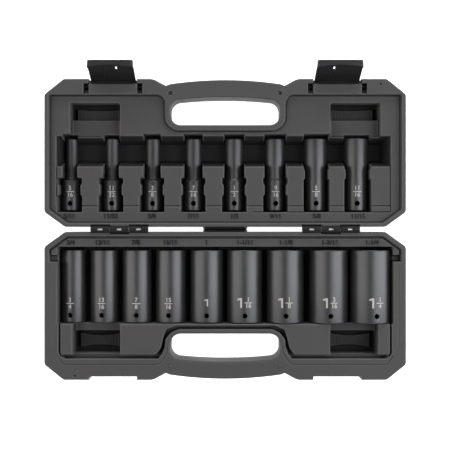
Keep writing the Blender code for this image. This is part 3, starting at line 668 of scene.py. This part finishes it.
# ---------------------------------------------------------------- hinges
def make_hinges(side, dark):
    """Knuckles of one half with the webs that hold them, bored for the pin, with a window on top."""
    # dark is the plastic that paints the shadow in the gap between the halves
    body = BODY[side]
    for hand, word in ((-1, "left"), (1, "right")):
        for index in ((0, 2) if side == BASE else (1,)):
            centre = hand * HINGE_X + (index - 1) * (KNUCKLE + KNUCKLE_GAP)
            half, edge = KNUCKLE / 2, 0.5
            turns = np.linspace(0, math.pi / 2, 5)
            rise = [(half - edge + edge * math.sin(a), KNUCKLE_RADIUS - edge + edge * math.cos(a)) for a in turns]
            section = [(-run, radius) for run, radius in rise[::-1]] + rise
            section += [(half, KNUCKLE_BORE + 0.3), (half - 0.3, KNUCKLE_BORE), (0.3 - half, KNUCKLE_BORE),
                        (-half, KNUCKLE_BORE + 0.3)]
            name = f"{body}_knuckle_{word}_{index}"
            barrel = lathe(name, (centre, HINGE_Y, HINGE_Z), section, dark, body, node=f"{body}_case",
                           slot="case_plastic")
            window = box_cutter(centre - 2.65, centre + 2.65, HINGE_Y - 1.15, HINGE_Y + 1.15, HINGE_Z, 60.0)
            drill(barrel, window)
            dress(barrel, dark, body, sharp=40)
            ends = sorted((HINGE_Y + side * 2.0, HINGE_Y + side * (HINGE_GAP + 2.0)))
            rounded_block(f"{name}_web", (centre - half + 0.3, ends[0], HINGE_Z - 5.6),
                          (centre + half - 0.3, ends[1], HINGE_Z - 0.9), 0.6, dark, body, f"{body}_case")
    ends = sorted((HINGE_Y + side * 0.15, HINGE_Y + side * (HINGE_GAP + 2.0)))
    rounded_block(f"{body}_stop_block", (-STOP_HALF, ends[0], 6.0), (STOP_HALF, ends[1], 30.0), 1.0,
                  dark, body, f"{body}_case", lean=0.1)
    if side == BASE:
        rounded_block("base_stop_lip", (-STOP_HALF, HINGE_Y - 3.0, 1.6), (STOP_HALF, HINGE_Y + 1.7, 5.4), 0.8,
                      dark, body, "base_case")


def make_hinge_pin(word, hand, material):
    """A turned pin with domed ends."""
    half = KNUCKLE * 1.5 + KNUCKLE_GAP - 0.3
    turns = np.linspace(0, math.pi / 2, 6)
    dome = [(half - 0.6 + 0.6 * math.cos(a), PIN_RADIUS * math.sin(a) + 0.02) for a in turns]
    section = [(-run, radius) for run, radius in dome] + dome[::-1]
    lathe(f"hinge_pin_{word}", (hand * HINGE_X, HINGE_Y, HINGE_Z), section, material, "base", 32,
          node=f"hinge_pin_{word}", slot="pin_steel")


# ---------------------------------------------------------------- latches
def make_latch(word, hand, material):
    """A latch plate: its section carried across x, with ridges, round corners and a bowed lip.

    The section is (outward, up) about the pivot; the whole leans outward by the open angle.
    """
    outer, inner = 8.0, 5.0
    barrel = [(3.2 * math.cos(a), 3.2 * math.sin(a)) for a in np.linspace(math.pi / 2, 3 * math.pi / 2, 17)]
    front = fillet([(outer, -3.2, 1.2), (outer, 39.0, 2.0), (10.4, 43.2, 1.0), (9.8, 45.0, 0.8), (5.6, 43.6, 0.8),
                    (2.5, 42.0, 0.5), (2.5, 39.6, 0.4), (inner, 39.3, 0.4), (inner, 3.2, 1.0)], 5)
    section = np.array(barrel + front)
    section = resample([tuple(p) for p in section], [tuple(p) for p in section], 1.1)
    out, up = section[:, 0][None, :], section[:, 1][None, :]
    x = np.concatenate([-LATCH_HALF + 2.2 * (1 - np.cos(np.linspace(0, math.pi / 2, 9))),
                        np.linspace(-LATCH_HALF + 2.6, LATCH_HALF - 2.6, 110),
                        LATCH_HALF - 2.2 * (1 - np.cos(np.linspace(math.pi / 2, 0, 9)))])[:, None]
    across = np.abs(x) / LATCH_HALF
    inset = 1.0 - np.sqrt(np.clip(1 - (np.clip(np.abs(x) - LATCH_HALF + 1.0, 0, 1)) ** 2, 0, 1))
    corner = 3.0 * (1 - np.sqrt(np.clip(1 - np.clip((np.abs(x) - LATCH_HALF + 3.0) / 3.0, 0, 1) ** 2, 0, 1)))
    cap = 45.0 - corner - 1.2 * across ** 2 - 0.04 * (45.0 - up)
    middle = (outer + inner) / 2
    face = np.clip((out - 7.6) / 0.4, 0, 1) * np.clip((up - 3.0) / 3.0, 0, 1) * np.clip((35.0 - up) / 3.0, 0, 1)
    ridge = np.clip(np.cos(x * 2 * math.pi / 4.4) * 2.4, -1, 1) * np.clip((LATCH_HALF - 2.0 - np.abs(x)) / 2, 0, 1)
    dish = 1.0 * (1 - across ** 2) * face
    back = np.clip((5.3 - out) / 0.3, 0, 1) * np.clip((up - 5.0) / 3.0, 0, 1) * np.clip((37.5 - up) / 1.5, 0, 1)
    rib = np.cos(x * 2 * math.pi / 2.9) + 0.6 * np.cos(x * 2 * math.pi / 1.7)
    scoop = np.where(up > 38.0, 2.6 + 2.3 * (1 - across ** 2), -9.0)
    out = out - np.sign(out - middle) * inset * np.minimum(np.abs(out - middle), 1.0) + 0.35 * ridge * face - dish
    out = np.where(out < 5.0, np.maximum(out, scoop), out) + 0.14 * rib * back
    up = np.minimum(up, cap)
    lean = LATCH_LEAN
    d = PIVOT_D + out * math.cos(lean) + up * math.sin(lean)
    z = PIVOT_Z + up * math.cos(lean) - out * math.sin(lean)
    points = np.stack([hand * LATCH_X + x + 0 * d, HINGE_Y + d, z], -1)
    count, round_count = d.shape
    faces = grid_faces(count, round_count, close_columns=True)
    ends = []
    for row, flip in ((0, True), (count - 1, False)):
        ends.append((np.arange(round_count)[::-1] if flip else np.arange(round_count)) + row * round_count)
    piece = loose_body(f"latch_{word}", points.reshape(-1, 3), faces.tolist() + [end.tolist() for end in ends])
    outward = Vector((0, math.cos(lean), -math.sin(lean)))
    upward = Vector((0, math.sin(lean), math.cos(lean)))
    pivot = Vector((hand * LATCH_X, HINGE_Y + PIVOT_D, PIVOT_Z))
    hang = pivot + upward * 33.5 + outward * 1.0 - Vector((hand * 5.8, 0, 0))
    drill(piece, cutter_rod(hang, outward, (0, 5.4, 6.4, 12.0), (1.6, 1.6, 2.4, 2.4)))
    sight = hang + outward * 5.0 - Vector((0, 0, 14.0))
    drill(piece, cutter_rod(sight, (0, 0, 1), (0.0, 28.0), (0.9, 0.9), 24))
    dress(piece, material, "latch_" + word, f"latch_{word}", sharp=40)
    for end in (-1, 1):
        reach = LATCH_RECESS + LATCH_SLOT - 0.5
        section = [(0.0, 0.02), (0.0, 1.5), (0.3, 1.8), (reach - LATCH_HALF + 1.0, 1.8),
                   (reach - LATCH_HALF + 1.4, 1.4), (reach - LATCH_HALF + 1.4, 0.02)]
        section = [(end * run, radius) for run, radius in section]
        if end < 0:
            section = section[::-1]
        start = (pivot.x + end * (LATCH_HALF - 1.5), pivot.y, pivot.z)
        lathe(f"latch_{word}_trunnion_{end + 2}", start, section, material, "latch_" + word, 24,
              node=f"latch_{word}", slot="latch_plastic")


# ---------------------------------------------------------------- sockets
TURN = 96
ANGLES = np.arange(TURN) * 2 * math.pi / TURN


def polygon_radius(apothem, sides, lead, limit=1e9):
    """Distance from the middle of a regular polygon to its edge, at every angle of a ring."""
    part = 2 * math.pi / sides
    return np.minimum(apothem / np.cos((ANGLES - lead) % part - part / 2), limit)


def round_ring(radius):
    return np.full(TURN, radius)


def make_socket(row, flats, roll, material, mark):
    """A deep socket as one closed grid of rings along its axis.

    Outward it runs along the body with round ends and a coved shoulder; inward through the hexagon,
    a relief bore and the square drive. Every ring is a radius at each angle and a place on the axis.
    """
    length = abs(row["drive_d"] - row["hex_d"])
    nose, drive = row["nose"], row["drive"]
    apothem = (flats * 25.4 + 0.15) / 2
    hexagon = polygon_radius(apothem, 6, math.radians(15.0))
    square = polygon_radius(6.35, 4, math.radians(45.0), 8.6)
    edge = 1.1
    turns = np.linspace(0, math.pi / 2, 6)
    mouth = min(apothem * 1.155 + 0.5, nose - edge - 0.2)
    rings = [(round_ring(mouth), 0.0), (np.minimum(hexagon, mouth), 0.9), (hexagon, 2.4),
             (hexagon, 21.6), (round_ring(apothem * 0.93), 25.0),
             (round_ring(apothem * 0.93), length - 20.0), (square, length - 17.0), (square, length - 1.0),
             (np.minimum(square + 0.9, drive - edge - 0.3), length)]
    rings += [(round_ring(drive - edge + edge * math.sin(a)), length - edge + edge * math.cos(a)) for a in turns]
    shoulder = length - 32.0
    if drive > nose + 0.5:
        rise = drive - nose
        blend = np.linspace(0, 1, 9)
        for share in blend[::-1]:
            swing = share * share * (3 - 2 * share)
            rings.append((round_ring(nose + rise * swing), shoulder - 3.4 + 3.4 * share))
    else:
        rings.append((round_ring(drive), length * 0.5))
    rings += [(round_ring(nose - edge + edge * math.cos(a)), edge - edge * math.sin(a)) for a in turns]
    run = 1 if row["drive_d"] > row["hex_d"] else -1
    run *= row["half"]
    start = HINGE_Y + row["half"] * row["hex_d"]
    radii = np.stack([ring for ring, _ in rings])
    y = start + run * np.array([place for _, place in rings])[:, None] + 0 * radii
    angles = ANGLES + roll
    points = np.stack([row["x"] + radii * np.sin(angles), y, row["z"] + radii * np.cos(angles)], -1)
    faces = grid_faces(len(rings), TURN, close_rows=True)
    if run < 0:
        faces = faces[:, ::-1]
    body = row["node"]
    piece = make_piece(body, points.reshape(-1, 3), faces, material, body, sharp=None)
    hole_y = start + run * (length - 8.0)
    axis = Vector((math.sin(roll), 0, math.cos(roll)))
    foot = Vector((row["x"], hole_y, row["z"])) - axis * (drive + 3)
    flare = (0, 3.0 - 0.35, 3.6, 2 * drive + 2.4, 2 * drive + 3.35, 2 * drive + 6)
    drill(piece, cutter_rod(foot, axis, flare, (3.4, 3.3, 2.5, 2.5, 3.3, 3.4)))
    dress(piece, material, body, body, sharp=32)
    make_marks(row, start + run * (length - 20.6), roll, mark)
    return piece


def words_of(node):
    """Whole number, numerator and denominator of a socket's size, from its node's name."""
    parts = node.replace("socket_", "").split("_")
    if len(parts) == 3:
        return parts[0], parts[1], parts[2]
    return ("", *parts) if len(parts) == 2 else (parts[0], "", "")


def flat_text(text, size, x, y, depth=0.0, weight=0.02):
    """Corners and faces of a line of figures, centred on (x, y) in millimetres."""
    curve = bpy.data.curves.new("figures", "FONT")
    curve.body, curve.size, curve.extrude = text, size, depth
    curve.align_x, curve.align_y = "CENTER", "CENTER"
    curve.offset = weight * size
    holder = bpy.data.objects.new("figures", curve)
    bpy.context.scene.collection.objects.link(holder)
    bpy.context.view_layer.update()
    mesh = bpy.data.meshes.new_from_object(holder.evaluated_get(bpy.context.evaluated_depsgraph_get()))
    bpy.data.objects.remove(holder, do_unlink=True)
    mesh.transform(Matrix.Translation((x, y, 0)))
    return mesh


def joined(meshes, cuts=0):
    shape = bmesh.new()
    for mesh in meshes:
        shape.from_mesh(mesh)
        bpy.data.meshes.remove(mesh)
    bmesh.ops.remove_doubles(shape, verts=shape.verts, dist=1e-4)
    bmesh.ops.triangulate(shape, faces=shape.faces)
    for _ in range(cuts):
        longer = [edge for edge in shape.edges if edge.calc_length() > 0.9]
        bmesh.ops.subdivide_edges(shape, edges=longer, cuts=1)
        bmesh.ops.triangulate(shape, faces=shape.faces)
    mesh = bpy.data.meshes.new("figures")
    shape.to_mesh(mesh)
    shape.free()
    return mesh


def stroke(x0, x1, y0, y1):
    mesh = bpy.data.meshes.new("stroke")
    mesh.from_pydata([(x0, y0, 0), (x1, y0, 0), (x1, y1, 0), (x0, y1, 0)], [], [(0, 1, 2, 3)])
    return mesh


def tall_one(x, y, height):
    """A figure 1: an upright with a flag at its top, all sizes in parts of its height."""
    mesh = bpy.data.meshes.new("one")
    outline = [(0.02, -0.5), (0.22, -0.5), (0.22, 0.5), (0.0, 0.5), (-0.27, 0.42), (-0.27, 0.24), (0.02, 0.29)]
    corners = [(x + u * height, y + v * height, 0) for u, v in outline]
    mesh.from_pydata(corners, [], [(0, 1, 2, 6), (2, 3, 6), (3, 4, 5, 6)])
    return mesh


def make_marks(row, y, roll, mark):
    """Etched size on the socket: flat figures bent round the body, angle = distance / radius."""
    whole, top, bottom = words_of(row["node"])
    meshes = []
    if whole:
        meshes.append(tall_one(-5.4 if top else 0.0, 1.4, 10.4 if top else 7.6))
        if top:
            meshes += [flat_text(top, 6.6, 3.6, 4.9), stroke(-0.4, 7.6, 1.0, 1.9), flat_text(bottom, 6.6, 3.6, -1.9)]
    else:
        meshes += [flat_text(top, 6.4, 0.0, 3.9), stroke(-4.3, 4.3, -0.2, 0.7), flat_text(bottom, 6.4, 0.0, -3.4)]
    mesh = joined(meshes, 3)
    flat = np.empty(len(mesh.vertices) * 3)
    mesh.vertices.foreach_get("co", flat)
    flat = flat.reshape(-1, 3)
    radius = row["drive"] + 0.05
    angle = flat[:, 0] / radius + roll
    bent = np.stack([row["x"] + radius * np.sin(angle), y + flat[:, 1], row["z"] + radius * np.cos(angle)], -1)
    mesh.vertices.foreach_set("co", (bent * MM).astype(np.float32).ravel())
    piece = bpy.data.objects.new(f"{row['node']}_etched_size", mesh)
    dress(piece, mark, row["node"], None)


def make_label(row, figures):
    """Raised size on the ledge above a socket's seat."""
    # the figures take the dark plastic that paints the shade of the moulded lettering
    whole, top, bottom = words_of(row["node"])
    text = (f"{whole}-" if whole and top else whole) + (f"{top}/{bottom}" if top else "")
    level = LEDGE_Z if row["half"] == BASE else PANEL_Z
    y = HINGE_Y + row["half"] * 14.0
    mesh = joined([flat_text(text, 6.9, 0.0, 0.0, depth=0.3, weight=0.034)])
    mesh.transform(Matrix.Diagonal((MM, MM, MM, 1)))
    mesh.transform(Matrix.Translation((row["x"] * MM, y * MM, (level + 0.2) * MM)))
    piece = bpy.data.objects.new(f"{BODY[row['half']]}_label_{row['node'][7:]}", mesh)
    dress(piece, figures, BODY[row["half"]], None, sharp=30)


# ---------------------------------------------------------------- finishes
def new_group(name, inputs, outputs):
    group = bpy.data.node_groups.new(name, "ShaderNodeTree")
    for word, kind, value in inputs:
        socket = group.interface.new_socket(word, in_out="INPUT", socket_type=kind)
        if value is not None:
            socket.default_value = value
    for word, kind in outputs:
        group.interface.new_socket(word, in_out="OUTPUT", socket_type=kind)
    nodes, links = group.nodes, group.links
    return group, nodes, links, nodes.new("NodeGroupInput"), nodes.new("NodeGroupOutput")


def math_node(nodes, links, operation, first, second=None, third=None, clamp=False):
    node = nodes.new("ShaderNodeMath")
    node.operation, node.use_clamp = operation, clamp
    for index, value in enumerate((first, second, third)):
        if value is None:
            continue
        if isinstance(value, (int, float)):
            node.inputs[index].default_value = value
        else:
            links.new(value, node.inputs[index])
    return node.outputs[0]


def noise(nodes, links, scale, detail=3.0, rough=0.55, stretch=(1, 1, 1)):
    """Noise over the piece's own coordinates, per metre, stretched along its axes."""
    place = nodes.new("ShaderNodeTexCoord")
    mapping = nodes.new("ShaderNodeMapping")
    mapping.inputs["Scale"].default_value = stretch
    pattern = nodes.new("ShaderNodeTexNoise")
    pattern.inputs["Scale"].default_value = scale
    pattern.inputs["Detail"].default_value = detail
    pattern.inputs["Roughness"].default_value = rough
    links.new(place.outputs["Object"], mapping.inputs["Vector"])
    links.new(mapping.outputs["Vector"], pattern.inputs["Vector"])
    return pattern.outputs["Fac"]


def moulded_grain():
    """Fine spark-eroded grain, with slow cloudy change and small scuffs."""
    inputs = [("Grain", "NodeSocketFloat", 1.0), ("Scuffs", "NodeSocketFloat", 0.3)]
    outputs = [("Height", "NodeSocketFloat"), ("Cloud", "NodeSocketFloat"), ("Scuff", "NodeSocketFloat")]
    group, nodes, links, enter, leave = new_group("moulded_grain", inputs, outputs)
    fine = noise(nodes, links, 2600.0, 2.0)
    coarse = noise(nodes, links, 900.0, 3.0)
    height = math_node(nodes, links, "MULTIPLY_ADD", coarse, 0.6, fine)
    links.new(math_node(nodes, links, "MULTIPLY", height, enter.outputs["Grain"]), leave.inputs["Height"])
    links.new(noise(nodes, links, 28.0, 4.0), leave.inputs["Cloud"])
    streak = noise(nodes, links, 160.0, 5.0, 0.7, (1.0, 0.35, 1.0))
    sharp = math_node(nodes, links, "SUBTRACT", streak, 0.62)
    sharp = math_node(nodes, links, "MULTIPLY", sharp, 7.0, clamp=True)
    links.new(math_node(nodes, links, "MULTIPLY", sharp, enter.outputs["Scuffs"]), leave.inputs["Scuff"])
    return group


def worn_edges():
    """Where a piece carries the edge and shade attributes: rubbed corners, and painted shade on steep walls and deep
    places.
    """
    inputs = [("Wear", "NodeSocketFloat", 0.5), ("Dust", "NodeSocketFloat", 0.3)]
    outputs = [("Rubbed", "NodeSocketFloat"), ("Settled", "NodeSocketFloat")]
    group, nodes, links, enter, leave = new_group("worn_edges", inputs, outputs)
    # the first row is edge wear; the second is painted shade, read from the deck's shade attribute
    for word, amount, out, scale, spread in (("edge", "Wear", "Rubbed", 220.0, 1.4),
                                             ("hollow", "Dust", "Settled", 60.0, 0.3)):
        attribute = nodes.new("ShaderNodeAttribute")
        attribute.attribute_name = word
        patch = noise(nodes, links, scale, 4.0)
        patch = math_node(nodes, links, "MULTIPLY_ADD", patch, spread, 1 - spread / 2, clamp=True)
        mask = math_node(nodes, links, "MULTIPLY", attribute.outputs["Fac"], patch)
        links.new(math_node(nodes, links, "MULTIPLY", mask, enter.outputs[amount]), leave.inputs[out])
    return group


GRAIN, WEAR_AND_SHADE = moulded_grain(), worn_edges()


def blend_colour(nodes, links, factor, first, second):
    mix = nodes.new("ShaderNodeMix")
    mix.data_type = "RGBA"
    for index, value in ((0, factor), (6, first), (7, second)):
        if isinstance(value, tuple):
            mix.inputs[index].default_value = (*value, 1.0)
        else:
            links.new(value, mix.inputs[index])
    return mix.outputs[2]


def finish_of(name, base, cloudy, rubbed, shade_colour, roughness, metallic, grain, bump, scuffs, wear, shade_strength, sheen=0.5):
    """A procedural finish: cloudy colour, rubbed edges, painted shade in steep and deep places, and roughness and
    bump from the grain.
    """
    material = bpy.data.materials.new(name)
    material.use_nodes = True
    nodes, links = material.node_tree.nodes, material.node_tree.links
    shader = nodes["Principled BSDF"]
    shader.inputs["Metallic"].default_value = metallic
    shader.inputs["Specular IOR Level"].default_value = sheen
    surface = nodes.new("ShaderNodeGroup")
    surface.node_tree = GRAIN
    surface.inputs["Grain"].default_value = grain
    surface.inputs["Scuffs"].default_value = scuffs
    edges = nodes.new("ShaderNodeGroup")
    edges.node_tree = WEAR_AND_SHADE
    edges.inputs["Wear"].default_value = wear
    edges.inputs["Dust"].default_value = shade_strength
    colour = blend_colour(nodes, links, surface.outputs["Cloud"], base, cloudy)
    # painted shade: steep walls and deep places blend toward the dark shade colour
    colour = blend_colour(nodes, links, edges.outputs["Settled"], colour, shade_colour)
    colour = blend_colour(nodes, links, edges.outputs["Rubbed"], colour, rubbed)
    colour = blend_colour(nodes, links, surface.outputs["Scuff"], colour, rubbed)
    links.new(colour, shader.inputs["Base Color"])
    rough = math_node(nodes, links, "MULTIPLY_ADD", surface.outputs["Cloud"], 0.16, roughness - 0.08)
    rough = math_node(nodes, links, "MULTIPLY_ADD", surface.outputs["Scuff"], 0.15, rough)
    rough = math_node(nodes, links, "MULTIPLY_ADD", edges.outputs["Settled"], 0.25, rough)
    links.new(rough, shader.inputs["Roughness"])
    relief = nodes.new("ShaderNodeBump")
    relief.inputs["Strength"].default_value = bump
    relief.inputs["Distance"].default_value = 0.00012
    links.new(surface.outputs["Height"], relief.inputs["Height"])
    links.new(relief.outputs["Normal"], shader.inputs["Normal"])
    return material


# ---------------------------------------------------------------- making
# case plastic: the near-black fourth colour, at full strength, is painted shade on the decks' steep walls and deep
# places
case_plastic = finish_of("case_plastic", (0.0268, 0.0252, 0.0256), (0.0334, 0.0315, 0.0320), (0.080, 0.077, 0.077),
                         (0.0012, 0.0011, 0.0011), 0.60, 0.0, 1.0, 0.35, 0.12, 0.7, 1.0, 0.42)
# a darker copy of the case plastic, painted shadow: the knuckles, webs and stop blocks sit in the shadowed gap
# between the halves, and the raised figures are darkened to their shadowed look
shaded_plastic = finish_of("shaded_plastic", (0.005, 0.005, 0.0052), (0.009, 0.0088, 0.009), (0.04, 0.04, 0.04),
                           (0.02, 0.02, 0.02), 0.50, 0.0, 1.0, 0.3, 0.1, 0.3, 0.1, 0.16)
latch_plastic = finish_of("latch_plastic", (0.009, 0.009, 0.0098), (0.015, 0.015, 0.016), (0.07, 0.07, 0.07),
                          (0.05, 0.05, 0.05), 0.30, 0.0, 0.5, 0.2, 0.15, 0.4, 0.1, 0.4)
socket_steel = finish_of("phosphated_steel", (0.040, 0.040, 0.042), (0.066, 0.065, 0.067), (0.17, 0.165, 0.16),
                         (0.10, 0.09, 0.08), 0.40, 0.80, 1.0, 0.30, 0.10, 0.5, 0.0)
pin_steel = finish_of("pin_steel", (0.78, 0.78, 0.79), (0.86, 0.86, 0.87), (0.9, 0.9, 0.9),
                      (0.5, 0.5, 0.5), 0.5, 0.35, 0.4, 0.1, 0.2, 0.2, 0.0)
etched_mark = finish_of("etched_mark", (0.24, 0.23, 0.222), (0.35, 0.335, 0.322), (0.12, 0.115, 0.11),
                        (0.3, 0.3, 0.3), 0.55, 0.0, 1.0, 0.2, 0.4, 0.0, 0.0)

LEVELS = {LID: [(RIM_Z - RIM_ROUND, BAR_FRONT), (RIM_Z - 4.4, BAR_FRONT),
                (RIM_Z - 4.4, PIVOT_DEEP), (PIVOT_FLOOR, PIVOT_DEEP),
                (PIVOT_FLOOR, 0.0), (FOOT_ROUND, 0.0)],
          BASE: [(RIM_Z - RIM_ROUND, CATCH_DEPTH), (LIP_Z, CATCH_DEPTH), (LIP_Z, HOOK_DEPTH),
                 (LIP_Z - 7.5, HOOK_DEPTH), (LIP_Z - 7.5, 0.0), (FOOT_ROUND, 0.0)]}
for side, height in ((BASE, base_height), (LID, lid_height)):
    make_half(side, LEVELS[side], height, case_plastic)
    # the hinges take the dark plastic that paints their shadow
    make_hinges(side, shaded_plastic)
for word, hand in (("left", -1), ("right", 1)):
    make_latch(word, hand, latch_plastic)
    make_hinge_pin(word, hand, pin_steel)

ROLL = {"3_4": -8.9, "13_16": -6.5, "15_16": -7.4, "1_3_16": 1.7, "1_1_4": 11.7, "5_16": -4.0, "9_16": 3.0}
for row in SOCKETS:
    whole, top, bottom = words_of(row["node"])
    flats = (float(whole) if whole else 0.0) + (float(top) / float(bottom) if top else 0.0)
    make_socket(row, flats, math.radians(ROLL.get(row["node"][7:], 0.0)), socket_steel, etched_mark)
    # the labels take the dark plastic that paints the shade of the lettering
    make_label(row, shaded_plastic)


# ---------------------------------------------------------------- stage, light and camera
def make_floor():
    """A pale floor just under the feet of the case, bright enough to read as white."""
    reach = 3000.0
    corners = [(x, y, -0.3) for x, y in ((-reach, -reach), (reach, -reach), (reach, reach), (-reach, reach))]
    floor = loose_body("floor", corners, [(0, 1, 2, 3)])
    material = bpy.data.materials.new("pale_floor")
    material.use_nodes = True
    shader = material.node_tree.nodes["Principled BSDF"]
    shader.inputs["Base Color"].default_value = (0.93, 0.93, 0.93, 1)
    shader.inputs["Roughness"].default_value = 0.9
    shader.inputs["Emission Color"].default_value = (1, 1, 1, 1)
    shader.inputs["Emission Strength"].default_value = 0.9
    floor.data.materials.append(material)


def soft_box(name, place, aim, size, power, colour):
    light = bpy.data.lights.new(name, "AREA")
    light.shape, light.size, light.size_y = "RECTANGLE", size[0], size[1]
    light.energy, light.color = power, colour
    holder = bpy.data.objects.new(name, light)
    holder.location = place
    holder.rotation_euler = (Vector(aim) - Vector(place)).to_track_quat("-Z", "Y").to_euler()
    bpy.context.scene.collection.objects.link(holder)


scene = bpy.context.scene
make_floor()
PANELS = {"left_panel": ((-1.36, 0.08, 1.00), (1.0, 2.4), 26.5, (1.0, 0.975, 0.94)),
          "right_panel": ((1.32, 0.08, 1.02), (0.85, 2.4), 41.0, (0.94, 0.965, 1.0)),
          "front_panel": ((0, -1.50, 0.70), (2.4, 0.8), 12.0, (1.0, 1.0, 1.0)),
          "back_panel": ((0, 1.66, 0.70), (2.4, 0.8), 30.0, (1.0, 1.0, 1.0))}
for name, (place, size, power, colour) in PANELS.items():
    soft_box(name, place, (0, 0.08, 0.03), size, power, colour)
world = bpy.data.worlds.new("studio")
world.use_nodes = True
world.node_tree.nodes["Background"].inputs["Color"].default_value = (1.0, 1.0, 1.0, 1)
world.node_tree.nodes["Background"].inputs["Strength"].default_value = 0.18
scene.world = world
scene.view_settings.view_transform = "Standard"

camera = bpy.data.cameras.new("camera")
camera.lens, camera.sensor_width = 86.7, 36.0
holder = bpy.data.objects.new("camera", camera)
holder.location = (-0.0002, 0.0860, 1.192)
scene.collection.objects.link(holder)
scene.camera = holder
